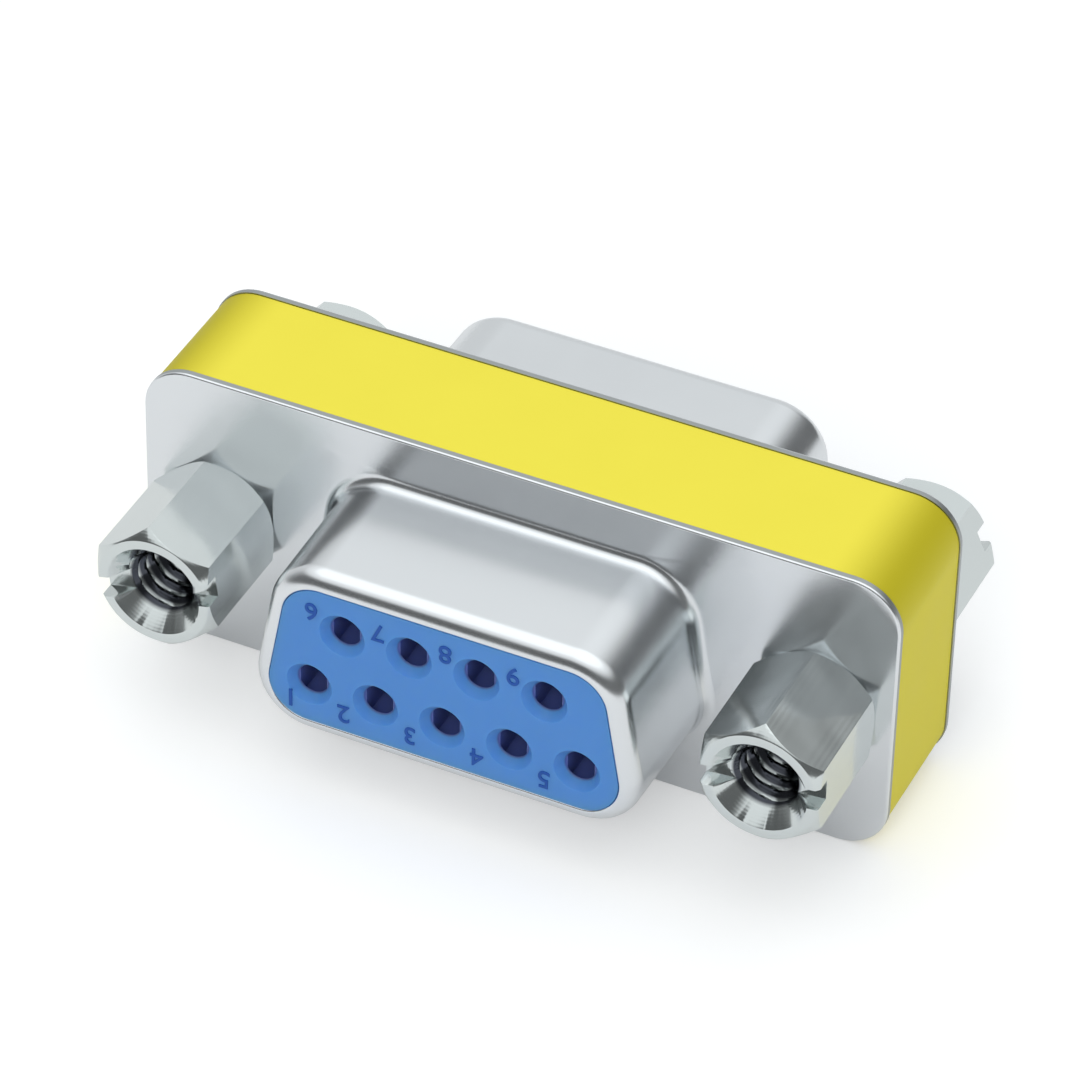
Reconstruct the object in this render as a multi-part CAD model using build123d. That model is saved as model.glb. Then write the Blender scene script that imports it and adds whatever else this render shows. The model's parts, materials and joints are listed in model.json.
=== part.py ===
from build123d import *

import os
from math import cos, radians, tan

# Slim D-sub gender changer, in millimetres: a nine-way socket on each side of a flat body.
# X runs along the body, the front socket faces -Y, Z is up, and the body stands on Z = 0.
# Each half is drawn in its own frame, which has z pointing out of the socket,
# z = 0 on the middle plane of the body and y towards the narrow side of the D.

# Body
FLANGE_HEIGHT = 12.55
FLANGE_CORNER = 2.0
BODY_DEPTH = 6.1
SHEET = 0.3

# D-shaped socket shell
SOCKET_WIDTH = 16.8
SOCKET_HEIGHT = 7.8
SOCKET_CORNER = 2.3
SIDE_ANGLE = 10.0
SOCKET_REACH = 6.0
RIM_RADIUS = 0.75
ROOT_BEND = 0.3
LIP_WIDTH = 0.72

# Insulators
FACE_RECESS = 0.03
BASE_THICKNESS = 1.9
ENTRY_WALL = 0.4
ENTRY_THROAT = 1.24
ENTRY_MOUTH = 1.9

# Contacts: two facing spring blades at each end, a shoulder behind each pair and a link between
CONTACT_PITCH = 2.77
ROW_SPACING = 2.84
WIDE_ROW = 5
STRIP = 0.25
BLADE_WIDTH = 1.0
BLADE_SETBACK = 1.6
BLADE_PINCH = 0.92
PINCH_SETBACK = 1.0
MOUTH_GAP = 1.26
ROOT_GAP = 1.3
ROOT_LENGTH = 1.6
SHOULDER_HEIGHT = 2.1
LINK_KNEE = 0.25

# Jack posts, their studs and the sleeves that they are screwed into
JACK_SPACING = 24.99
HEX_ACROSS_FLATS = 4.76
HEX_MARGIN = 0.75
POST_LENGTH = 5.3
HEX_CHAMFER_ANGLE = 45.0
HEX_CHAMFER_INSET = 0.05
JACK_BORE = 2.26
JACK_BORE_DEPTH = 4.4
COUNTERSINK_DIAMETER = 3.9
COUNTERSINK_DEPTH = 0.95
SLOT_WIDTH = 0.9
SLOT_DEPTH = 0.75
STUD_DIAMETER = 2.44
STUD_LENGTH = 2.5
STUD_HOLE = 3.05
SLEEVE_ACROSS_FLATS = 4.0
SLEEVE_TURN = 30.0

# Spacer frame and the label film round it
FRAME_WALL = 0.93
BOSS_WALL = 0.9
POCKET_RIB = 0.8
WINDOW_MARGIN = 0.7
LABEL_THICKNESS = 0.12
LABEL_INSET = 0.05
LABEL_SEAM = 0.3

# Clearances
FIT = 0.05
LIP_FIT = 0.02
GLUE = 0.02
THREAD_FIT = 0.02

# Turn of each jack post's hexagon and of its driver slot, in degrees
POST_TURNS = {
    "front_jack_post_left": (-22.7, 14.0),
    "front_jack_post_right": (30.0, 6.0),
    "rear_jack_post_left": (8.0, 35.0),
    "rear_jack_post_right": (6.0, -20.0),
}

# Widths and heights that follow from the sizes above
FLANGE_WIDTH = JACK_SPACING + HEX_ACROSS_FLATS + 2 * HEX_MARGIN
FRAME_INSET = LABEL_INSET + LABEL_THICKNESS + GLUE
BASE_WIDTH = JACK_SPACING - SLEEVE_ACROSS_FLATS - 2 * (BOSS_WALL + 2 * FIT)
BASE_HEIGHT = FLANGE_HEIGHT - 2 * (FRAME_INSET + FRAME_WALL + FIT)
WINDOW_WIDTH = (WIDE_ROW - 1) * CONTACT_PITCH + BLADE_WIDTH + 2 * WINDOW_MARGIN
WINDOW_HEIGHT = ROW_SPACING + STRIP + 2 * WINDOW_MARGIN

# Levels along the half's own z
FLANGE_FACE = BODY_DEPTH / 2
FLANGE_BACK = FLANGE_FACE - SHEET
RIM = FLANGE_FACE + SOCKET_REACH
NOSE_SHOULDER = RIM - RIM_RADIUS - FIT
NOSE_FACE = RIM - FACE_RECESS
BASE_BACK = FLANGE_BACK - BASE_THICKNESS
ENTRY_BACK = NOSE_FACE - ENTRY_WALL
BLADE_TIP = ENTRY_BACK - BLADE_SETBACK
BLADE_HEIGHT = ROOT_GAP + 2 * STRIP
POST_END = FLANGE_FACE + POST_LENGTH
BEYOND = 1.0

front_half = Plane(origin=(0, 0, FLANGE_HEIGHT / 2), x_dir=(1, 0, 0), z_dir=(0, -1, 0))
rear_half = Plane(origin=(0, 0, FLANGE_HEIGHT / 2), x_dir=(1, 0, 0), z_dir=(0, 1, 0))
over = Rotation(180, 0, 0)

jack_places = [Pos(-JACK_SPACING / 2, 0), Pos(JACK_SPACING / 2, 0)]


def d_section(inset):
    """The D outline, moved in by a distance square to its sides."""
    lean = radians(SIDE_ANGLE)
    low = SOCKET_WIDTH / 2 - inset * (tan(lean) + 1 / cos(lean))
    half_height = SOCKET_HEIGHT / 2 - inset
    high = low - 2 * half_height * tan(lean)
    corners = [(-low, -half_height), (low, -half_height), (high, half_height), (-high, half_height)]
    trapezoid = Polygon(*corners, align=None)
    return fillet(trapezoid.vertices(), SOCKET_CORNER - inset)


def slab(sketch, low, high):
    """The sketch as a solid between two levels."""
    return extrude(Pos(0, 0, low) * sketch, high - low)


def turned(*profile):
    """A solid turned about z from points of radius and level."""
    return revolve(Plane.XZ * Polygon(*profile, align=None), Axis.Z)


def hexagon(across_flats, turn):
    """A regular hexagon about the centre."""
    return RegularPolygon(across_flats / 2, 6, major_radius=False, rotation=turn)


def top_edges(solid):
    """The edges round the highest face."""
    return solid.faces().sort_by(Axis.Z)[-1].edges()


def d_edges(solid, level):
    """The edges of the D at one level, without the flange's own outline."""
    flat = solid.edges().filter_by_position(Axis.Z, level, level)
    return flat.filter_by_position(Axis.Y, -SOCKET_HEIGHT / 2, SOCKET_HEIGHT / 2).filter_by_position(
        Axis.X, -SOCKET_WIDTH / 2, SOCKET_WIDTH / 2
    )


def contact_places():
    """Centres of the contacts, numbered along the wide row and then the narrow one."""
    places = []
    for count, row in ((WIDE_ROW, -ROW_SPACING / 2), (WIDE_ROW - 1, ROW_SPACING / 2)):
        for column in range(count):
            places.append(((column - (count - 1) / 2) * CONTACT_PITCH, row))
    return places


def make_shell():
    """Flange and D tube drawn from one sheet, with an in-turned rim."""
    flange = slab(RectangleRounded(FLANGE_WIDTH, FLANGE_HEIGHT, FLANGE_CORNER), FLANGE_BACK, FLANGE_FACE)
    tube = slab(d_section(0), FLANGE_BACK, RIM)
    tube = fillet(top_edges(tube), RIM_RADIUS)
    shell = flange + tube
    shell = chamfer(d_edges(shell, FLANGE_FACE), ROOT_BEND)

    hollow = slab(d_section(SHEET), FLANGE_BACK, RIM - SHEET)
    shell -= chamfer(top_edges(hollow), (RIM_RADIUS - SHEET) / 2)
    shell -= slab(d_section(LIP_WIDTH), RIM - RIM_RADIUS, RIM + BEYOND)
    for place in jack_places:
        shell -= slab(place * Circle(STUD_HOLE / 2), 0, RIM)
    return shell


def make_insulator():
    """Moulded base and stepped nose, with a countersunk entry and a pocket for each contact."""
    insulator = slab(Rectangle(BASE_WIDTH, BASE_HEIGHT), BASE_BACK, FLANGE_BACK)
    insulator += slab(d_section(SHEET + FIT), BASE_BACK, NOSE_SHOULDER)
    insulator += slab(d_section(LIP_WIDTH + LIP_FIT), NOSE_SHOULDER, NOSE_FACE)
    throat = ENTRY_THROAT / 2
    mouth = ENTRY_MOUTH / 2
    entry = turned((0, ENTRY_BACK), (throat, ENTRY_BACK), (mouth, NOSE_FACE), (0, NOSE_FACE))
    width = BLADE_WIDTH + 2 * FIT
    pocket = slab(Rectangle(width, BLADE_HEIGHT + 2 * FIT), BASE_BACK, ENTRY_BACK)
    seat = slab(Rectangle(width, SHOULDER_HEIGHT + 2 * FIT), BASE_BACK, BASE_BACK + STRIP + FIT)
    for place in contact_places():
        insulator -= Pos(*place) * (entry + pocket + seat)
    return insulator


def blade_profile():
    """Side view of two spring blades that pinch a pin, folded up from a shoulder."""
    root = ROOT_GAP / 2
    pinch = BLADE_PINCH / 2
    mouth = MOUTH_GAP / 2
    pinch_level = BLADE_TIP - PINCH_SETBACK
    root_level = BASE_BACK + ROOT_LENGTH
    inside = [(root, BASE_BACK), (root, root_level), (pinch, pinch_level), (mouth, BLADE_TIP)]
    outside = [(y + STRIP, z) for y, z in inside]
    blade = Polygon(*inside, *reversed(outside), align=None)
    shoulder = Pos(0, BASE_BACK + STRIP / 2) * Rectangle(SHOULDER_HEIGHT, STRIP)
    return blade + mirror(blade, Plane.YZ) + shoulder


def link_profile(row):
    """Side view of the strip that joins front blades in one row to rear blades in the other."""
    half = STRIP / 2 if row > 0 else -STRIP / 2
    knee = BASE_BACK - LINK_KNEE
    down = [(row + half, BASE_BACK), (row + half, knee), (half - row, -knee), (half - row, -BASE_BACK)]
    up = [(-y, -z) for y, z in down]
    return Polygon(*down, *up, align=None)


def make_contact(place):
    """One contact, cut as a single profile: front blades, rear blades and the link between their rows."""
    across, row = place
    blades = blade_profile()
    front = Pos(row, 0) * blades
    rear = Pos(-row, 0) * mirror(blades, Plane.XZ)
    profile = front + rear + link_profile(row)
    return Pos(across, 0) * extrude(Plane.YZ * profile, BLADE_WIDTH / 2, both=True)


def make_jack_post(hex_turn, slot_turn):
    """A slotted hexagonal jack post with a tapped mouth and a stud behind."""
    corner = HEX_ACROSS_FLATS / 2 / cos(radians(30)) + HEX_CHAMFER_INSET
    end = HEX_ACROSS_FLATS / 2 - HEX_CHAMFER_INSET
    slope = (corner - end) * tan(radians(HEX_CHAMFER_ANGLE))
    envelope = turned(
        (0, FLANGE_FACE),
        (end, FLANGE_FACE),
        (corner, FLANGE_FACE + slope),
        (corner, POST_END - slope),
        (end, POST_END),
        (0, POST_END),
    )
    post = slab(hexagon(HEX_ACROSS_FLATS, hex_turn), FLANGE_FACE, POST_END) & envelope
    tip = FLANGE_FACE - STUD_LENGTH
    post += slab(Circle(STUD_DIAMETER / 2), tip, FLANGE_FACE)
    bore = JACK_BORE / 2
    wide = COUNTERSINK_DIAMETER / 2
    post -= turned(
        (0, POST_END - JACK_BORE_DEPTH),
        (bore, POST_END - JACK_BORE_DEPTH),
        (bore, POST_END - COUNTERSINK_DEPTH),
        (wide, POST_END),
        (wide, POST_END + BEYOND),
        (0, POST_END + BEYOND),
    )
    slot = Rot(0, 0, slot_turn) * Rectangle(2 * HEX_ACROSS_FLATS, SLOT_WIDTH)
    return post - slab(slot, POST_END - SLOT_DEPTH, POST_END + BEYOND)


def make_sleeve():
    """The tapped hexagonal sleeve between the flanges, which takes a stud from each side."""
    ring = hexagon(SLEEVE_ACROSS_FLATS, SLEEVE_TURN) - Circle(STUD_DIAMETER / 2 + THREAD_FIT)
    return slab(ring, -FLANGE_BACK, FLANGE_BACK)


def make_frame():
    """The moulded spacer: pockets for both insulators, hexagonal sockets for the sleeves, cored corners."""
    width = FLANGE_WIDTH - 2 * FRAME_INSET
    height = FLANGE_HEIGHT - 2 * FRAME_INSET
    radius = FLANGE_CORNER - FRAME_INSET
    inner = RectangleRounded(width - 2 * FRAME_WALL, height - 2 * FRAME_WALL, radius - FRAME_WALL)
    pocket = Rectangle(BASE_WIDTH + 2 * FIT, BASE_HEIGHT + 2 * FIT)
    cores = inner - Rectangle(BASE_WIDTH + 2 * FIT + 2 * POCKET_RIB, height)
    for place in jack_places:
        cores -= place * hexagon(SLEEVE_ACROSS_FLATS + 2 * (FIT + BOSS_WALL), SLEEVE_TURN)
    sleeve = hexagon(SLEEVE_ACROSS_FLATS + 2 * FIT, SLEEVE_TURN)
    frame = slab(RectangleRounded(width, height, radius), -FLANGE_BACK, FLANGE_BACK)
    for low, high in ((BASE_BACK, FLANGE_BACK), (-FLANGE_BACK, -BASE_BACK)):
        frame -= slab(pocket, low, high)
        frame -= slab(cores, low, high)
    frame -= slab(Rectangle(WINDOW_WIDTH, WINDOW_HEIGHT), -BASE_BACK, BASE_BACK)
    for place in jack_places:
        frame -= slab(place * sleeve, -FLANGE_BACK, FLANGE_BACK)
    return frame


def make_label():
    """The coloured film wrapped round the frame, with its seam underneath."""
    ring = []
    for inset in (LABEL_INSET, LABEL_INSET + LABEL_THICKNESS):
        width = FLANGE_WIDTH - 2 * inset
        height = FLANGE_HEIGHT - 2 * inset
        ring.append(RectangleRounded(width, height, FLANGE_CORNER - inset))
    band = ring[0] - ring[1]
    band -= Pos(0, -FLANGE_HEIGHT / 2) * Rectangle(LABEL_SEAM, 2 * SHEET)
    return slab(band, GLUE - FLANGE_BACK, FLANGE_BACK - GLUE)


nodes = {}
shell = make_shell()
insulator = make_insulator()
for side, half in (("front", front_half), ("rear", rear_half)):
    nodes[side + "_shell"] = half * shell
    nodes[side + "_insulator"] = half * insulator
    for name, place in zip(("left", "right"), jack_places):
        post = side + "_jack_post_" + name
        nodes[post] = half * (place * make_jack_post(*POST_TURNS[post]))
for name, place in zip(("left", "right"), jack_places):
    nodes["threaded_sleeve_" + name] = front_half * (place * make_sleeve())
nodes["spacer_frame"] = front_half * make_frame()
nodes["label_band"] = front_half * make_label()
for number, place in enumerate(contact_places(), start=1):
    nodes["contact_" + str(number)] = front_half * make_contact(place)

os.makedirs("parts", exist_ok=True)
for name, shape in nodes.items():
    export_step(shape, "parts/" + name + ".step")
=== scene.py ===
import json
from math import acos, cos, pi, radians, sin, tan

import bmesh
import bpy
from mathutils import Matrix, Vector


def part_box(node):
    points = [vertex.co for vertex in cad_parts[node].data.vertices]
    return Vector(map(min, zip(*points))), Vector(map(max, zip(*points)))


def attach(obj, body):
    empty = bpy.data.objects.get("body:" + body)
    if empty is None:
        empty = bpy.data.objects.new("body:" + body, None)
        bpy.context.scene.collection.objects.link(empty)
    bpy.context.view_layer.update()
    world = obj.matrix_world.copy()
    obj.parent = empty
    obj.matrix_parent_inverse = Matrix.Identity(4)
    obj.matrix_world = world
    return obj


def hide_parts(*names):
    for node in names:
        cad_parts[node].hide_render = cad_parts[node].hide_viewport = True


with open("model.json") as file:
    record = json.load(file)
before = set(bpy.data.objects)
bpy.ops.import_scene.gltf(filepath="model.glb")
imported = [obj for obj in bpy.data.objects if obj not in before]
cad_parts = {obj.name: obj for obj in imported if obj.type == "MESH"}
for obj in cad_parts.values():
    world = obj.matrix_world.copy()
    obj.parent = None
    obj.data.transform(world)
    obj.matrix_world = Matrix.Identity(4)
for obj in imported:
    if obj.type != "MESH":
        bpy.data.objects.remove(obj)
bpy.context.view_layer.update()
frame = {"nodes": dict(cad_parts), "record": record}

# Looks of a slim nine-way D-sub gender changer. Meshes are drawn in millimetres, each half in a frame
# of its own with z out of the socket, z = 0 on the middle plane and y towards the narrow side of the D.
MM = 0.001

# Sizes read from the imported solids, in millimetres
shell_low, shell_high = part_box("front_shell")
post_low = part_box("front_jack_post_left")[0]
insulator_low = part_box("front_insulator")[0]
mount_places = {mount["name"]: mount["pos_m"] for mount in frame["record"]["mounts"]}
FLANGE_WIDTH = (shell_high.x - shell_low.x) / MM
FLANGE_HEIGHT = (shell_high.z - shell_low.z) / MM
FLANGE_BACK = -shell_high.y / MM
POST_END = -post_low.y / MM
NOSE_FACE = -insulator_low.y / MM
JACK_X = mount_places["front_jack_right"][0] / MM

# Shells
SHEET = 0.3
FLANGE_CORNER = 2.0
FLANGE_BREAK = 0.1
FLANGE_FACE = FLANGE_BACK + SHEET
SOCKET_WIDTH = 16.8
SOCKET_HEIGHT = 7.8
SOCKET_CORNER = 2.3
SIDE_ANGLE = radians(10)
SOCKET_REACH = 6.0
SOCKET_DRAFT = radians(1)
RIM = FLANGE_FACE + SOCKET_REACH
RIM_RADIUS = 0.75
ROOT_RADIUS = 0.45
LIP_WIDTH = 0.72
LIP_EDGE = 0.09
STUD_HOLE = 3.05

# Jack posts
HEX_ACROSS_FLATS = 4.76
HEX_CHAMFER_ANGLE = radians(45)
HEX_CHAMFER_INSET = 0.05
HEX_EDGE = 0.08
TURNED_START = radians(1.1)
JACK_BORE = 2.26
JACK_BORE_DEPTH = 4.4
THREAD_MAJOR = 2.84
THREAD_PITCH = 0.635
THREAD_CREST = 1.15
CUT_OVERLAP = 0.02
COUNTERSINK_DIAMETER = 3.9
COUNTERSINK_DEPTH = 0.95
SLOT_WIDTH = 0.9
SLOT_DEPTH = 0.75
STUD_DIAMETER = 2.44
STUD_LENGTH = 2.5
POST_TURNS = {
    "front_jack_post_left": (-22.7, 14.0),
    "front_jack_post_right": (30.0, 6.0),
    "rear_jack_post_left": (8.0, 35.0),
    "rear_jack_post_right": (6.0, -20.0),
}

# Colours set apart: painted shade in the tapped bores, a darker colour on the flange's edge, painted shade
# on the plastic deep in the entries and on the film's bends
BORE_PAINTED_SHADE = (0.07, 0.075, 0.09)
FLANGE_EDGE_COLOUR = (0.42, 0.44, 0.44)
ENTRY_SHADE = (0.09, 0.125, 0.38)
BEND_PAINTED_SHADE = (0.52, 0.45, 0.02)

# Where the painted shade at the film's bends starts and is full, as distances from the body's end and from
# its top
BEND_FROM_END = (3.2, 0.6)
BEND_FROM_TOP = (2.6, 0.2)

# Depths behind the insulator's face where the entries' shade starts and is full
ENTRY_SHADE_SPAN = (0.3, 0.4)

# Finish: handling marks and the part of their noise that counts, where the bore's painted shade is full,
# how sharp and dull the flange edge's darker colour is, lathe rings, fine grain on plate, and how far light
# goes inside the plastic for red, green and blue
MARKS_SCALE = 350
MARKS_SPAN = (0.3, 0.7)
BORE_SHADE_BLEND = 0.12
EDGE_COLOUR_BLEND = 0.02
EDGE_COLOUR_DULLNESS = 0.2
LATHE_PITCH = 0.09
PLATE_GRAIN = 9000
PLATE_GRAIN_HEIGHT = 0.0002
GLOW_COLOURS = (0.25, 0.45, 1.0)
GLOW_DEPTH = 1.1

# Contact entries and the digit beside each
CONTACT_PITCH = 2.77
ROW_SPACING = 2.84
WIDE_ROW = 5
DIGIT_HEIGHT = 0.8
DIGIT_SHARE_OF_SIZE = 0.7
DIGIT_THINNING = -0.005
DIGIT_RISE = 0.03
DIGIT_EDGE = 0.015
DIGIT_BY_WIDE_ROW = Vector((-1.33, -0.87))
DIGIT_BY_NARROW_ROW = Vector((-1.28, 0.77))
FIRST_DIGIT_SHIFT = 0.55

# Camera, fitted to the photograph
PHOTO_PIXELS = 1080
FOCAL_PIXELS = 5910
SENSOR = 36.0
VIEW_AZIMUTH = radians(24.50)
VIEW_ELEVATION = radians(38.83)
VIEW_ROLL = radians(1.41)
VIEW_DISTANCE = 220.5
VIEW_TARGET = Vector((1.103, -3.05, 9.914))

# Light: low walls from the front of the studio to the back, paler ones above them, soft light overhead
WALL_LEVELS = ((0.0, 0.12), (1.0, 0.72), (0.275, 0.13), (0.425, 0.32), (0.55, 0.60), (0.70, 0.71))
UPPER_WALL = (33, 42)
UPPER_LEVEL = 0.92
RIGHT_SPAN = (0.05, 0.4)
RIGHT_LEVEL = 0.15
RIGHT_UPPER = (26, 50)
OVERHEAD = (51, 59)
OVERHEAD_LEVEL = 1.3
COOL_TINT = (0.97, 1.0, 1.01)
FLOOR_LEVEL = 0.8
FLOOR_GLOW = 0.3
FLOOR_SHEEN = 0.06
FLOOR_REACH = 1500
FILL_SIZE = 200
FILL_RADIANCE = 4.0

FRONT = Matrix(((1, 0, 0, 0), (0, 0, -1, 0), (0, 1, 0, FLANGE_HEIGHT / 2), (0, 0, 0, 1)))
REAR = Matrix(((1, 0, 0, 0), (0, 0, 1, 0), (0, -1, 0, FLANGE_HEIGHT / 2), (0, 0, 0, 1)))
HALVES = {"front": FRONT, "rear": REAR}
SIDES = {"left": -1, "right": 1}


# Outlines

def rounded(corners, radius, steps):
    """An outline with every corner rounded by an arc of the same number of points."""
    points = []
    for index, corner in enumerate(corners):
        here = Vector(corner)
        back = (Vector(corners[index - 1]) - here).normalized()
        on = (Vector(corners[(index + 1) % len(corners)]) - here).normalized()
        half = back.angle(on) / 2
        centre = here + (back + on).normalized() * radius / sin(half)
        start = here + back * radius / tan(half) - centre
        for step in range(steps + 1):
            turn = Matrix.Rotation((pi - 2 * half) * step / steps, 2)
            points.append(centre + turn @ start)
    return points


def d_outline(inset, steps=14):
    """The outline of the D, moved in by a distance square to its sides."""
    low = SOCKET_WIDTH / 2 - inset * (tan(SIDE_ANGLE) + 1 / cos(SIDE_ANGLE))
    half_height = SOCKET_HEIGHT / 2 - inset
    high = low - 2 * half_height * tan(SIDE_ANGLE)
    corners = [(-low, -half_height), (low, -half_height), (high, half_height), (-high, half_height)]
    return rounded(corners, SOCKET_CORNER - inset, steps)


def flange_outline(inset, steps=14):
    """The outline of the flange, moved in by a distance."""
    across = FLANGE_WIDTH / 2 - inset
    up = FLANGE_HEIGHT / 2 - inset
    corners = [(-across, -up), (across, -up), (across, up), (-across, up)]
    return rounded(corners, FLANGE_CORNER - inset, steps)


def circle(radius, centre=(0, 0), count=64, start=0.0):
    """Points round a circle."""
    x, y = centre
    turns = [start + 2 * pi * k / count for k in range(count)]
    return [(x + radius * cos(turn), y + radius * sin(turn)) for turn in turns]


def arc(centre, radius, start, end, steps):
    """Points of (across, level) along an arc, angles in radians from the across axis."""
    across, level = centre
    points = []
    for step in range(steps + 1):
        turn = start + (end - start) * step / steps
        points.append((across + radius * cos(turn), level + radius * sin(turn)))
    return points


def contact_places():
    """Centres of the contacts, numbered along the wide row and then the narrow one."""
    places = []
    for count, row in ((WIDE_ROW, -ROW_SPACING / 2), (WIDE_ROW - 1, ROW_SPACING / 2)):
        for column in range(count):
            places.append(Vector(((column - (count - 1) / 2) * CONTACT_PITCH, row)))
    return places


# Mesh making

def ring(bm, outline, level):
    """A closed ring of points at one level."""
    return [bm.verts.new((x, y, level)) for x, y in outline]


def bridge(bm, first, second):
    """Quads between two rings of as many points."""
    for k in range(len(first)):
        on = (k + 1) % len(first)
        bm.faces.new((first[k], first[on], second[on], second[k]))


def flat_face(bm, rings):
    """A flat face bounded by the first ring, with the others as holes in it."""
    edges = []
    for points in rings:
        for k in range(len(points)):
            pair = (points[k - 1], points[k])
            edges.append(bm.edges.get(pair) or bm.edges.new(pair))
    bmesh.ops.triangle_fill(bm, use_beauty=True, edges=edges)


def new_piece(name, bm):
    """An object made from the mesh being drawn, with its faces turned outwards."""
    bmesh.ops.recalc_face_normals(bm, faces=bm.faces)
    mesh = bpy.data.meshes.new(name)
    bm.to_mesh(mesh)
    bm.free()
    piece = bpy.data.objects.new(name, mesh)
    bpy.context.scene.collection.objects.link(piece)
    return piece


def settle(piece):
    """Makes what the piece's modifiers show its own mesh."""
    shown = piece.evaluated_get(bpy.context.evaluated_depsgraph_get())
    mesh = bpy.data.meshes.new_from_object(shown)
    piece.modifiers.clear()
    piece.data = mesh


def combine(piece, other, operation):
    """One boolean step with another solid, which is used up."""
    step = piece.modifiers.new("step", "BOOLEAN")
    step.solver = "EXACT"
    step.operation = operation
    step.object = other
    bpy.context.view_layer.update()
    settle(piece)
    bpy.data.objects.remove(other)


def soften_edges(piece, width, segments):
    """Rounds the piece's sharp edges."""
    step = piece.modifiers.new("edges", "BEVEL")
    step.width = width
    step.segments = segments
    step.limit_method = "ANGLE"
    step.angle_limit = radians(20)
    bpy.context.view_layer.update()
    settle(piece)


def shade(piece, crease):
    """Smooth shading, with a crease where faces meet at more than an angle in degrees."""
    piece.data.polygons.foreach_set("use_smooth", [True] * len(piece.data.polygons))
    piece.data.set_sharp_from_angle(angle=radians(crease))
    step = piece.modifiers.new("flat_faces_first", "WEIGHTED_NORMAL")
    step.keep_sharp = True
    step.weight = 100


def place(piece, half, material, slot, *nodes):
    """Puts a finished piece in the frame, dressed, in place of the solids it stands for."""
    piece.data.transform(Matrix.Scale(MM, 4) @ half)
    piece.data.materials.clear()
    piece.data.materials.append(material)
    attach(piece, "root")
    if nodes:
        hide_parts(*nodes)


def turned(name, profile, count=96):
    """A solid turned about z from points of radius and level, the first and last on the axis."""
    bm = bmesh.new()
    foot = bm.verts.new((0, 0, profile[0][1]))
    head = bm.verts.new((0, 0, profile[-1][1]))
    rings = []
    for radius, level in profile[1:-1]:
        rings.append(ring(bm, circle(radius, count=count, start=TURNED_START), level))
    for first, second in zip(rings, rings[1:]):
        bridge(bm, first, second)
    for k in range(count):
        bm.faces.new((foot, rings[0][k], rings[0][k - 1]))
        bm.faces.new((head, rings[-1][k - 1], rings[-1][k]))
    return new_piece(name, bm)


def prism(name, outline, low, high):
    """A straight solid between two levels."""
    bm = bmesh.new()
    foot = ring(bm, outline, low)
    head = ring(bm, outline, high)
    bridge(bm, foot, head)
    bm.faces.new(foot)
    bm.faces.new(head)
    return new_piece(name, bm)


# Pieces

def make_shell(name):
    """Flange and D tube as one drawn sheet of even thickness, with an in-turned rim."""
    bm = bmesh.new()
    flange_rings = [ring(bm, flange_outline(0), FLANGE_BACK)]
    edge_centre = FLANGE_FACE - FLANGE_BREAK
    for inset, level in arc((FLANGE_BREAK, edge_centre), FLANGE_BREAK, pi, pi / 2, 4):
        flange_rings.append(ring(bm, flange_outline(inset), level))

    root = (-ROOT_RADIUS, FLANGE_FACE + ROOT_RADIUS)
    rim = (RIM_RADIUS, RIM - RIM_RADIUS)
    lip_outside = acos((RIM_RADIUS - LIP_WIDTH + LIP_EDGE) / RIM_RADIUS)
    lip_edge = (LIP_WIDTH - LIP_EDGE, rim[1] + RIM_RADIUS * sin(lip_outside) - LIP_EDGE)
    lip_inside = acos((RIM_RADIUS - LIP_WIDTH) / (RIM_RADIUS - SHEET))
    section = arc(root, ROOT_RADIUS, -pi / 2, 0, 8)
    section += arc(rim, RIM_RADIUS, pi, pi - lip_outside, 18)
    section += arc(lip_edge, LIP_EDGE, pi / 2, 0, 5)[1:]
    section += arc(rim, RIM_RADIUS - SHEET, pi - lip_inside, pi, 8)
    section += arc(root, ROOT_RADIUS + SHEET, 0, -pi / 2, 8)
    d_rings = []
    for inset, level in section:
        spread = max(RIM - RIM_RADIUS - level, 0) * tan(SOCKET_DRAFT)
        d_rings.append(ring(bm, d_outline(inset - spread), level))

    for rings in (flange_rings, d_rings):
        for first, second in zip(rings, rings[1:]):
            bridge(bm, first, second)
    fronts = [flange_rings[-1], d_rings[0]]
    backs = [flange_rings[0], d_rings[-1]]
    for side in SIDES.values():
        hole = circle(STUD_HOLE / 2, (side * JACK_X, 0), 48)
        front = ring(bm, hole, FLANGE_FACE)
        back = ring(bm, hole, FLANGE_BACK)
        bridge(bm, front, back)
        fronts.append(front)
        backs.append(back)
    flat_face(bm, fronts)
    flat_face(bm, backs)
    return new_piece(name, bm)


def thread_cutter():
    """A threaded rod that cuts the tapped bore: its radius follows the thread's flanks round and along."""
    around = 48
    per_pitch = 8
    minor = JACK_BORE / 2
    depth = (THREAD_MAJOR - JACK_BORE) / 2
    bottom = POST_END - JACK_BORE_DEPTH
    beyond_mouth = 0.5
    rows = int((JACK_BORE_DEPTH + beyond_mouth) / THREAD_PITCH * per_pitch)
    bm = bmesh.new()
    rings = []
    for row in range(rows + 1):
        outline = []
        for k in range(around):
            phase = (row / per_pitch - k / around) % 1
            flank = 1 - abs(2 * phase - 1)
            radius = minor - CUT_OVERLAP + (depth + CUT_OVERLAP) * min(flank * THREAD_CREST, 1)
            turn = 2 * pi * k / around
            outline.append((radius * cos(turn), radius * sin(turn)))
        rings.append(ring(bm, outline, bottom + row * THREAD_PITCH / per_pitch))
    for first, second in zip(rings, rings[1:]):
        bridge(bm, first, second)
    bm.faces.new(rings[0])
    bm.faces.new(rings[-1])
    return new_piece("thread_cutter", bm)


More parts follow.
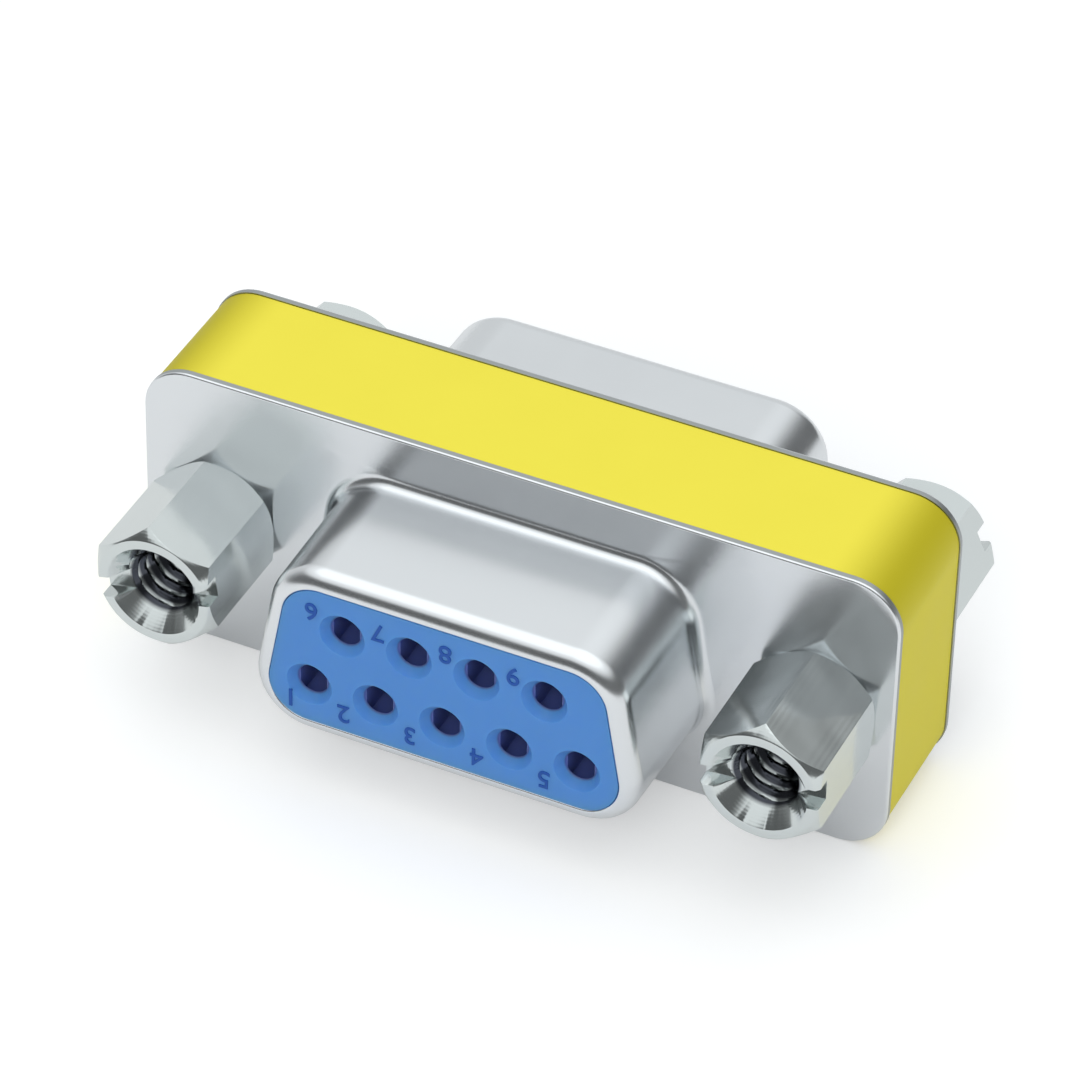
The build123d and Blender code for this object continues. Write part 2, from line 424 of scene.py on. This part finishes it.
def make_post(name, hex_turn, slot_turn):
    """A slotted hexagonal jack post, chamfered at both ends, with a tapped and countersunk mouth."""
    corner = HEX_ACROSS_FLATS / 2 / cos(radians(30))
    wide = corner + HEX_CHAMFER_INSET
    narrow = HEX_ACROSS_FLATS / 2 - HEX_CHAMFER_INSET
    slope = (wide - narrow) * tan(HEX_CHAMFER_ANGLE)
    hexagon = circle(corner, count=6)
    turn = Matrix.Rotation(radians(hex_turn), 2)
    post = prism(name, [turn @ Vector(point) for point in hexagon], FLANGE_FACE, POST_END)
    envelope = [
        (0, FLANGE_FACE),
        (narrow, FLANGE_FACE),
        (wide, FLANGE_FACE + slope),
        (wide, POST_END - slope),
        (narrow, POST_END),
        (0, POST_END),
    ]
    combine(post, turned("envelope", envelope), "INTERSECT")
    bore = JACK_BORE / 2
    mouth = COUNTERSINK_DIAMETER / 2
    beyond = POST_END + 1
    hollow = [
        (0, POST_END - JACK_BORE_DEPTH),
        (bore, POST_END - JACK_BORE_DEPTH),
        (bore, POST_END - COUNTERSINK_DEPTH),
        (mouth, POST_END),
        (mouth, beyond),
        (0, beyond),
    ]
    combine(post, turned("hollow", hollow), "DIFFERENCE")
    turn = Matrix.Rotation(radians(slot_turn), 2)
    half_slot = SLOT_WIDTH / 2
    across = HEX_ACROSS_FLATS
    bar = [(-across, -half_slot), (across, -half_slot), (across, half_slot), (-across, half_slot)]
    slot = prism("slot", [turn @ Vector(point) for point in bar], POST_END - SLOT_DEPTH, beyond)
    combine(post, slot, "DIFFERENCE")
    soften_edges(post, HEX_EDGE, 2)
    combine(post, thread_cutter(), "DIFFERENCE")
    stud_end = FLANGE_FACE - STUD_LENGTH
    stud = prism("stud", circle(STUD_DIAMETER / 2, count=48), stud_end, FLANGE_FACE + SHEET)
    combine(post, stud, "UNION")
    return post


def make_digits(name):
    """The raised digits beside the contact entries, which read with the wide row on top."""
    bm = bmesh.new()
    for number, place_of in enumerate(contact_places(), start=1):
        by = DIGIT_BY_WIDE_ROW if number <= WIDE_ROW else DIGIT_BY_NARROW_ROW
        shift = Vector((FIRST_DIGIT_SHIFT if number == 1 else 0, 0))
        curve = bpy.data.curves.new("digit", "FONT")
        curve.body = str(number)
        curve.align_x = "CENTER"
        curve.align_y = "CENTER"
        curve.size = DIGIT_HEIGHT / DIGIT_SHARE_OF_SIZE
        curve.offset = DIGIT_THINNING
        curve.extrude = DIGIT_RISE
        curve.bevel_depth = DIGIT_EDGE
        curve.bevel_resolution = 2
        letter = bpy.data.objects.new("digit", curve)
        bpy.context.scene.collection.objects.link(letter)
        bpy.context.view_layer.update()
        shown = letter.evaluated_get(bpy.context.evaluated_depsgraph_get())
        mesh = bpy.data.meshes.new_from_object(shown)
        x, y = place_of + by + shift
        mesh.transform(Matrix.Translation((x, y, NOSE_FACE)) @ Matrix.Rotation(pi, 4, "Z"))
        bm.from_mesh(mesh)
        bpy.data.objects.remove(letter)
    return new_piece(name, bm)


# Materials

def socket(group, name, way, kind="NodeSocketFloat", value=None):
    """A named input or output of a node group."""
    made = group.interface.new_socket(name, in_out=way, socket_type=kind)
    if value is not None:
        made.default_value = value


def new_group(name):
    """An empty shader group with its input and output nodes."""
    group = bpy.data.node_groups.new(name, "ShaderNodeTree")
    return group, group.nodes.new("NodeGroupInput"), group.nodes.new("NodeGroupOutput")


def plating_ripple():
    """Slow waves in bright plate, as a normal."""
    group, given, out = new_group("plating_ripple")
    socket(group, "Scale", "INPUT", value=200)
    socket(group, "Height", "INPUT", value=0.00001)
    socket(group, "Normal", "OUTPUT", "NodeSocketVector")
    where = group.nodes.new("ShaderNodeTexCoord")
    waves = group.nodes.new("ShaderNodeTexNoise")
    waves.inputs["Detail"].default_value = 1.0
    waves.inputs["Roughness"].default_value = 0.4
    bump = group.nodes.new("ShaderNodeBump")
    bump.inputs["Strength"].default_value = 1.0
    links = group.links
    links.new(where.outputs["Object"], waves.inputs["Vector"])
    links.new(given.outputs["Scale"], waves.inputs["Scale"])
    links.new(waves.outputs["Fac"], bump.inputs["Height"])
    links.new(given.outputs["Height"], bump.inputs["Distance"])
    links.new(bump.outputs["Normal"], out.inputs["Normal"])
    return group


def fine_grain():
    """Fine grain of a surface, as a height from 0 to 1 and a mask of faint handling marks."""
    group, given, out = new_group("fine_grain")
    socket(group, "Scale", "INPUT", value=6000)
    socket(group, "Height", "OUTPUT")
    socket(group, "Marks", "OUTPUT")
    where = group.nodes.new("ShaderNodeTexCoord")
    grain = group.nodes.new("ShaderNodeTexNoise")
    grain.inputs["Detail"].default_value = 3.0
    marks = group.nodes.new("ShaderNodeTexNoise")
    marks.inputs["Scale"].default_value = MARKS_SCALE
    marks.inputs["Detail"].default_value = 4.0
    links = group.links
    links.new(where.outputs["Object"], grain.inputs["Vector"])
    links.new(where.outputs["Object"], marks.inputs["Vector"])
    links.new(given.outputs["Scale"], grain.inputs["Scale"])
    links.new(grain.outputs["Fac"], out.inputs["Height"])
    links.new(marks.outputs["Fac"], out.inputs["Marks"])
    return group


def turning_marks():
    """Round each jack post's axis: the rings of the lathe, as a height, and a mask of the tapped bore for
    its painted shade.
    """
    group, given, out = new_group("turning_marks")
    socket(group, "Pitch", "INPUT", value=0.0001)
    socket(group, "Height", "OUTPUT")
    socket(group, "Bore", "OUTPUT")
    where = group.nodes.new("ShaderNodeTexCoord")
    split = group.nodes.new("ShaderNodeSeparateXYZ")
    links = group.links
    links.new(where.outputs["Object"], split.inputs["Vector"])

    def math(operation, first, second=None):
        node = group.nodes.new("ShaderNodeMath")
        node.operation = operation
        for slot, value in zip(node.inputs, (first, second)):
            if isinstance(value, (int, float)):
                slot.default_value = value
            elif value is not None:
                links.new(value, slot)
        return node.outputs[0]

    across = math("SUBTRACT", math("ABSOLUTE", split.outputs["X"]), JACK_X * MM)
    up = math("SUBTRACT", split.outputs["Z"], FLANGE_HEIGHT / 2 * MM)
    squares = math("ADD", math("MULTIPLY", across, across), math("MULTIPLY", up, up))
    radius = math("SQRT", squares)
    turns = math("DIVIDE", radius, given.outputs["Pitch"])
    links.new(math("SINE", math("MULTIPLY", turns, 2 * pi)), out.inputs["Height"])
    bore = group.nodes.new("ShaderNodeMapRange")
    bore.inputs["From Min"].default_value = THREAD_MAJOR / 2 * MM
    bore.inputs["From Max"].default_value = (THREAD_MAJOR / 2 - BORE_SHADE_BLEND) * MM
    links.new(radius, bore.inputs["Value"])
    links.new(bore.outputs["Result"], out.inputs["Bore"])
    return group


def face_depth():
    """How far a point lies behind a plane across the part, from 0 at one distance to 1 at another."""
    group, given, out = new_group("face_depth")
    socket(group, "Plane", "INPUT", value=NOSE_FACE * MM)
    socket(group, "Start", "INPUT", value=ENTRY_SHADE_SPAN[0] * MM)
    socket(group, "End", "INPUT", value=ENTRY_SHADE_SPAN[1] * MM)
    socket(group, "Depth", "OUTPUT")
    where = group.nodes.new("ShaderNodeTexCoord")
    split = group.nodes.new("ShaderNodeSeparateXYZ")
    away = group.nodes.new("ShaderNodeMath")
    away.operation = "ABSOLUTE"
    behind = group.nodes.new("ShaderNodeMath")
    behind.operation = "SUBTRACT"
    span = group.nodes.new("ShaderNodeMapRange")
    span.interpolation_type = "SMOOTHSTEP"
    links = group.links
    links.new(where.outputs["Object"], split.inputs["Vector"])
    links.new(split.outputs["Y"], away.inputs[0])
    links.new(given.outputs["Plane"], behind.inputs[0])
    links.new(away.outputs[0], behind.inputs[1])
    links.new(behind.outputs[0], span.inputs["Value"])
    links.new(given.outputs["Start"], span.inputs["From Min"])
    links.new(given.outputs["End"], span.inputs["From Max"])
    links.new(span.outputs["Result"], out.inputs["Depth"])
    return group


def corner_bend():
    """Where the label film bends round the body's top corners, from 0 on the flats to 1 in the bends, for
    the painted shade there.
    """
    group, given, out = new_group("corner_bend")
    socket(group, "Bend", "OUTPUT")
    where = group.nodes.new("ShaderNodeTexCoord")
    split = group.nodes.new("ShaderNodeSeparateXYZ")
    across = group.nodes.new("ShaderNodeMath")
    across.operation = "ABSOLUTE"
    both = group.nodes.new("ShaderNodeMath")
    both.operation = "MULTIPLY"
    links = group.links
    links.new(where.outputs["Object"], split.inputs["Vector"])
    links.new(split.outputs["X"], across.inputs[0])
    spans = (
        (split.outputs["Z"], FLANGE_HEIGHT, BEND_FROM_TOP),
        (across.outputs[0], FLANGE_WIDTH / 2, BEND_FROM_END),
    )
    for index, (measure, edge, (start, full)) in enumerate(spans):
        span = group.nodes.new("ShaderNodeMapRange")
        span.interpolation_type = "SMOOTHSTEP"
        span.inputs["From Min"].default_value = (edge - start) * MM
        span.inputs["From Max"].default_value = (edge - full) * MM
        links.new(measure, span.inputs["Value"])
        links.new(span.outputs["Result"], both.inputs[index])
    links.new(both.outputs[0], out.inputs["Bend"])
    return group


groups = {
    "ripple": plating_ripple(),
    "grain": fine_grain(),
    "turning": turning_marks(),
    "depth": face_depth(),
    "bend": corner_bend(),
}


def new_material(name):
    """A material, with its nodes and links."""
    material = bpy.data.materials.new(name)
    material.use_nodes = True
    return material, material.node_tree.nodes, material.node_tree.links


def add_group(nodes, name, **values):
    """One of the shared groups, with its own values."""
    node = nodes.new("ShaderNodeGroup")
    node.node_tree = groups[name]
    for key, value in values.items():
        node.inputs[key].default_value = value
    return node


def colour_by(nodes, links, mask, low, high):
    """A colour that runs from one to another with a mask."""
    ramp = nodes.new("ShaderNodeMix")
    ramp.data_type = "RGBA"
    for slot, colour in ((ramp.inputs[6], low), (ramp.inputs[7], high)):
        if isinstance(colour, tuple):
            slot.default_value = (*colour, 1)
        else:
            links.new(colour, slot)
    links.new(mask, ramp.inputs[0])
    return ramp.outputs[2]


def value_by(nodes, links, mask, low, high):
    """A value that runs from one to another with the handling marks."""
    start, full = MARKS_SPAN
    span = nodes.new("ShaderNodeMapRange")
    span.inputs["From Min"].default_value = start
    span.inputs["From Max"].default_value = full
    span.inputs["To Min"].default_value = low
    span.inputs["To Max"].default_value = high
    links.new(mask, span.inputs["Value"])
    return span.outputs["Result"]


def bright_plate(name, low, high, gloss, ripple, turned_height=0, darker_edge=None):
    """Bright plate with slow ripples and faint marks; where asked, lathe rings with painted shade in the
    tapped bore, or a darker, duller flange edge.
    """
    material, nodes, links = new_material(name)
    surface = nodes["Principled BSDF"]
    surface.inputs["Metallic"].default_value = 1.0
    grain = add_group(nodes, "grain", Scale=PLATE_GRAIN)
    colour = colour_by(nodes, links, grain.outputs["Marks"], low, high)
    roughness = value_by(nodes, links, grain.outputs["Marks"], *gloss)
    ripple_scale, ripple_height = ripple
    waves = add_group(nodes, "ripple", Scale=ripple_scale, Height=ripple_height * MM)
    bump = nodes.new("ShaderNodeBump")
    bump.inputs["Strength"].default_value = 1.0
    bump.inputs["Distance"].default_value = PLATE_GRAIN_HEIGHT * MM
    height = grain.outputs["Height"]
    if turned_height:
        rings = add_group(nodes, "turning", Pitch=LATHE_PITCH * MM)
        height = rings.outputs["Height"]
        bump.inputs["Distance"].default_value = turned_height * MM
        # Painted shade in the tapped bore
        colour = colour_by(nodes, links, rings.outputs["Bore"], colour, BORE_PAINTED_SHADE)
    # The flange's edge, behind its rounded break, gets a darker and duller colour
    if darker_edge:
        start = (FLANGE_BREAK - EDGE_COLOUR_BLEND) * MM
        edge = add_group(nodes, "depth", Plane=FLANGE_FACE * MM, Start=start, End=FLANGE_BREAK * MM)
        colour = colour_by(nodes, links, edge.outputs["Depth"], colour, darker_edge)
        dull = nodes.new("ShaderNodeMath")
        dull.operation = "MULTIPLY_ADD"
        dull.inputs[1].default_value = EDGE_COLOUR_DULLNESS
        links.new(edge.outputs["Depth"], dull.inputs[0])
        links.new(roughness, dull.inputs[2])
        roughness = dull.outputs[0]
    links.new(colour, surface.inputs["Base Color"])
    links.new(roughness, surface.inputs["Roughness"])
    links.new(height, bump.inputs["Height"])
    links.new(waves.outputs["Normal"], bump.inputs["Normal"])
    links.new(bump.outputs["Normal"], surface.inputs["Normal"])
    return material


def moulding(name, low, high, gloss, grain, sheen=0.5, shaded=None, glow=0.0):
    """Moulded plastic or film with fine grain, and a masked painted shade or light scattered inside where
    asked.
    """
    material, nodes, links = new_material(name)
    surface = nodes["Principled BSDF"]
    surface.inputs["Specular IOR Level"].default_value = sheen
    surface.inputs["Subsurface Weight"].default_value = glow
    surface.inputs["Subsurface Radius"].default_value = GLOW_COLOURS
    surface.inputs["Subsurface Scale"].default_value = GLOW_DEPTH * MM
    grain_scale, grain_height = grain
    texture = add_group(nodes, "grain", Scale=grain_scale)
    marks = texture.outputs["Marks"]
    colour = colour_by(nodes, links, marks, low, high)
    if shaded:
        mask, darker = shaded
        colour = colour_by(nodes, links, add_group(nodes, mask).outputs[0], colour, darker)
    links.new(colour, surface.inputs["Base Color"])
    links.new(value_by(nodes, links, marks, *gloss), surface.inputs["Roughness"])
    bump = nodes.new("ShaderNodeBump")
    bump.inputs["Strength"].default_value = 1.0
    bump.inputs["Distance"].default_value = grain_height * MM
    links.new(texture.outputs["Height"], bump.inputs["Height"])
    links.new(bump.outputs["Normal"], surface.inputs["Normal"])
    return material


def dress(material, *nodes):
    """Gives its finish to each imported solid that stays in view."""
    for name in nodes:
        mesh = frame["nodes"][name].data
        mesh.materials.clear()
        mesh.materials.append(material)


# Studio

def make_camera():
    """The camera at the photograph's viewing angle."""
    data = bpy.data.cameras.new("camera")
    data.sensor_width = SENSOR
    data.lens = FOCAL_PIXELS * SENSOR / PHOTO_PIXELS
    data.clip_start = 0.01
    camera = bpy.data.objects.new("camera", data)
    bpy.context.scene.collection.objects.link(camera)
    level = cos(VIEW_ELEVATION)
    back = Vector((sin(VIEW_AZIMUTH) * level, -cos(VIEW_AZIMUTH) * level, sin(VIEW_ELEVATION)))
    turn = back.to_track_quat("Z", "Y").to_matrix().to_4x4()
    spot = Matrix.Translation((VIEW_TARGET + back * VIEW_DISTANCE) * MM)
    camera.matrix_world = spot @ turn @ Matrix.Rotation(VIEW_ROLL, 4, "Z")
    bpy.context.scene.camera = camera


def add_lamp(name, place_mm, aim_mm, size_mm, radiance, mirrored=True):
    """A soft square lamp of a given brightness, aimed at a point and seen or not in bright metal."""
    data = bpy.data.lights.new(name, "AREA")
    data.shape = "SQUARE"
    data.size = size_mm * MM
    data.energy = radiance * pi * (size_mm * MM) ** 2
    lamp = bpy.data.objects.new(name, data)
    bpy.context.scene.collection.objects.link(lamp)
    towards = Vector(aim_mm) - Vector(place_mm)
    turn = towards.to_track_quat("-Z", "Y").to_matrix().to_4x4()
    lamp.matrix_world = Matrix.Translation(Vector(place_mm) * MM) @ turn
    lamp.visible_glossy = mirrored


def grey_level(level):
    """A slightly cool grey of one level."""
    return (*[level * share for share in COOL_TINT], 1)


def make_world():
    """A studio with soft light overhead, pale walls behind and above, a dark front and a white backdrop."""
    world = bpy.data.worlds.new("studio")
    world.use_nodes = True
    bpy.context.scene.world = world
    nodes, links = world.node_tree.nodes, world.node_tree.links
    nodes.clear()
    where = nodes.new("ShaderNodeTexCoord")
    split = nodes.new("ShaderNodeSeparateXYZ")
    links.new(where.outputs["Generated"], split.inputs["Vector"])

    depth = nodes.new("ShaderNodeMapRange")
    depth.inputs["From Min"].default_value = -1.0
    links.new(split.outputs["Y"], depth.inputs["Value"])
    walls = nodes.new("ShaderNodeValToRGB")
    stops = walls.color_ramp.elements
    for index, (at, level) in enumerate(WALL_LEVELS):
        stop = stops[index] if index < 2 else stops.new(at)
        stop.position = at
        stop.color = grey_level(level)
    links.new(depth.outputs["Result"], walls.inputs["Fac"])

    def between(axis, start, end):
        step = nodes.new("ShaderNodeMapRange")
        step.interpolation_type = "SMOOTHSTEP"
        step.inputs["From Min"].default_value = start
        step.inputs["From Max"].default_value = end
        links.new(split.outputs[axis], step.inputs["Value"])
        return step.outputs["Result"]

    def blend(share, first, second):
        mix = nodes.new("ShaderNodeMix")
        mix.data_type = "RGBA"
        links.new(share, mix.inputs[0])
        for slot, colour in ((mix.inputs[6], first), (mix.inputs[7], second)):
            if isinstance(colour, tuple):
                slot.default_value = colour
            else:
                links.new(colour, slot)
        return mix.outputs[2]

    def above(angles):
        return between("Z", *[sin(radians(angle)) for angle in angles])

    left = blend(above(UPPER_WALL), walls.outputs["Color"], grey_level(UPPER_LEVEL))
    right = blend(above(RIGHT_UPPER), grey_level(RIGHT_LEVEL), grey_level(UPPER_LEVEL))
    studio = blend(between("X", *RIGHT_SPAN), left, right)
    studio = blend(above(OVERHEAD), studio, grey_level(OVERHEAD_LEVEL))

    light = nodes.new("ShaderNodeBackground")
    white = nodes.new("ShaderNodeBackground")
    white.inputs["Color"].default_value = (1, 1, 1, 1)
    rays = nodes.new("ShaderNodeLightPath")
    mix = nodes.new("ShaderNodeMixShader")
    out = nodes.new("ShaderNodeOutputWorld")
    links.new(studio, light.inputs["Color"])
    links.new(rays.outputs["Is Camera Ray"], mix.inputs[0])
    links.new(light.outputs[0], mix.inputs[1])
    links.new(white.outputs[0], mix.inputs[2])
    links.new(mix.outputs[0], out.inputs["Surface"])


def make_floor():
    """A plain white floor that keeps the part's shadow."""
    bm = bmesh.new()
    far = FLOOR_REACH
    corners = [(-far, -far), (far, -far), (far, far), (-far, far)]
    bm.faces.new(ring(bm, corners, 0))
    floor = new_piece("floor", bm)
    floor.data.transform(Matrix.Scale(MM, 4))
    material, nodes, links = new_material("white_floor")
    nodes.remove(nodes["Principled BSDF"])
    matt = nodes.new("ShaderNodeBsdfDiffuse")
    matt.inputs["Color"].default_value = (FLOOR_LEVEL, FLOOR_LEVEL, FLOOR_LEVEL, 1)
    glow = nodes.new("ShaderNodeEmission")
    glow.inputs["Color"].default_value = (1, 1, 1, 1)
    rays = nodes.new("ShaderNodeLightPath")
    seen = nodes.new("ShaderNodeMath")
    seen.operation = "MULTIPLY"
    seen.inputs[1].default_value = FLOOR_GLOW
    lift = nodes.new("ShaderNodeMath")
    lift.operation = "MULTIPLY_ADD"
    lift.inputs[1].default_value = FLOOR_SHEEN
    both = nodes.new("ShaderNodeAddShader")
    links.new(rays.outputs["Is Camera Ray"], seen.inputs[0])
    links.new(rays.outputs["Is Glossy Ray"], lift.inputs[0])
    links.new(seen.outputs[0], lift.inputs[2])
    links.new(lift.outputs[0], glow.inputs["Strength"])
    links.new(matt.outputs[0], both.inputs[0])
    links.new(glow.outputs[0], both.inputs[1])
    links.new(both.outputs[0], nodes["Material Output"].inputs["Surface"])
    floor.data.materials.append(material)


# The part, dressed

shell_plate = bright_plate(
    "nickel_shell",
    low=(0.79, 0.81, 0.83),
    high=(0.82, 0.84, 0.86),
    gloss=(0.21, 0.26),
    ripple=(180, 0.02),
    darker_edge=FLANGE_EDGE_COLOUR,
)
post_plate = bright_plate(
    "nickel_post",
    low=(0.67, 0.71, 0.705),
    high=(0.71, 0.75, 0.745),
    gloss=(0.1, 0.18),
    ripple=(450, 0.03),
    turned_height=0.0003,
)
gold = bright_plate(
    "contact_metal",
    low=(0.80, 0.60, 0.26),
    high=(0.86, 0.67, 0.32),
    gloss=(0.2, 0.3),
    ripple=(400, 0.005),
)
brass = bright_plate(
    "sleeve_brass",
    low=(0.72, 0.58, 0.30),
    high=(0.78, 0.64, 0.35),
    gloss=(0.25, 0.35),
    ripple=(400, 0.005),
)
blue = moulding(
    "blue_moulding",
    low=(0.083, 0.256, 0.63),
    high=(0.097, 0.282, 0.67),
    gloss=(0.4, 0.5),
    grain=(7000, 0.002),
    sheen=0.25,
    # Painted shade on the plastic deep in the contact entries
    shaded=("depth", ENTRY_SHADE),
    glow=0.5,
)
# The digits' darker blue is painted shade, standing in for the shade on the moulded strokes
digit_shade_blue = moulding(
    "blue_digits_painted_shade",
    low=(0.02, 0.085, 0.36),
    high=(0.028, 0.10, 0.40),
    gloss=(0.4, 0.5),
    grain=(7000, 0.002),
    sheen=0.15,
)
grey = moulding(
    "frame_moulding",
    low=(0.50, 0.51, 0.53),
    high=(0.56, 0.57, 0.59),
    gloss=(0.45, 0.55),
    grain=(5000, 0.002),
)
yellow = moulding(
    "label_film",
    low=(0.88, 0.77, 0.07),
    high=(0.91, 0.80, 0.08),
    gloss=(0.45, 0.55),
    grain=(2500, 0.001),
    sheen=0.08,
    # Painted shade where the film bends round the body's top corners
    shaded=("bend", BEND_PAINTED_SHADE),
)

for side, half in HALVES.items():
    shell = make_shell(side + "_shell_sheet")
    shade(shell, crease=40)
    place(shell, half, shell_plate, "nickel_shell", side + "_shell")
    digits = make_digits(side + "_digits")
    shade(digits, crease=40)
    place(digits, half, digit_shade_blue, "blue_moulding")
    for end, sign in SIDES.items():
        node = side + "_jack_post_" + end
        post = make_post(node + "_turned", *POST_TURNS[node])
        shade(post, crease=30)
        place(post, half @ Matrix.Translation((sign * JACK_X, 0, 0)), post_plate, "nickel_post", node)
dress(blue, "front_insulator", "rear_insulator")
dress(grey, "spacer_frame")
dress(yellow, "label_band")
dress(gold, *["contact_" + str(number + 1) for number in range(len(contact_places()))])
dress(brass, "threaded_sleeve_left", "threaded_sleeve_right")

make_floor()
make_world()
make_camera()
add_lamp("fill_lamp", (60, -300, 200), (0, 0, 6), FILL_SIZE, FILL_RADIANCE, mirrored=False)

bpy.context.scene.view_settings.view_transform = "Standard"
